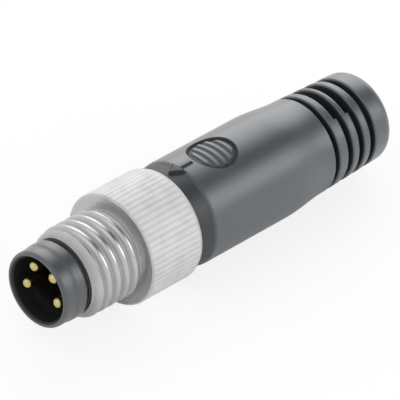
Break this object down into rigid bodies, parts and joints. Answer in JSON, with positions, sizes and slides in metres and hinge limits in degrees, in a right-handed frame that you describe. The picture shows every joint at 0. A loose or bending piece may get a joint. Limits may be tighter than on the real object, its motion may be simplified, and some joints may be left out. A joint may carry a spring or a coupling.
{
  "type": "circular m8 cable connector",
  "caption": "Male circular connector with gold pins in a round collar, a knurled coupling screw that turns, and a tapered grip body with a slotted bend relief.",
  "frame": {"origin": "on the connector's axis, where the coupling thread reaches its full diameter behind its starting chamfer", "axes": "+X along the axis towards the cable end, -X the way the pins point, +Z through the middle of the relief slots, away from the empty place in the ring of pins"},
  "size_m": [0.0383, 0.0098, 0.0098],
  "materials": {
    "nickel_plated_brass": "satin nickel plating over turned brass, straight knurl",
    "gold_plated_brass": "polished gold plating over turned brass",
    "insulator": "satin black glass-filled moulding",
    "hard_moulding": "plain black moulding, hidden when assembled",
    "soft_moulding": "satin dark grey soft moulding with a fine spark-eroded texture"
  },
  "bodies": {
    "plug": {"contact_carrier": "insulator", "contact_pin_1": "gold_plated_brass", "contact_pin_2": "gold_plated_brass", "contact_pin_3": "gold_plated_brass", "contact_pin_4": "gold_plated_brass", "inner_moulding": "hard_moulding", "grip_body": "soft_moulding"},
    "screw": {"coupling_screw": "nickel_plated_brass"}
  },
  "joints": [
    {"name": "screw_turn", "type": "hinge", "parent": "plug", "child": "screw", "pos_m": [0.005, 0, 0], "axis": [1, 0, 0], "continuous": true}
  ]
}
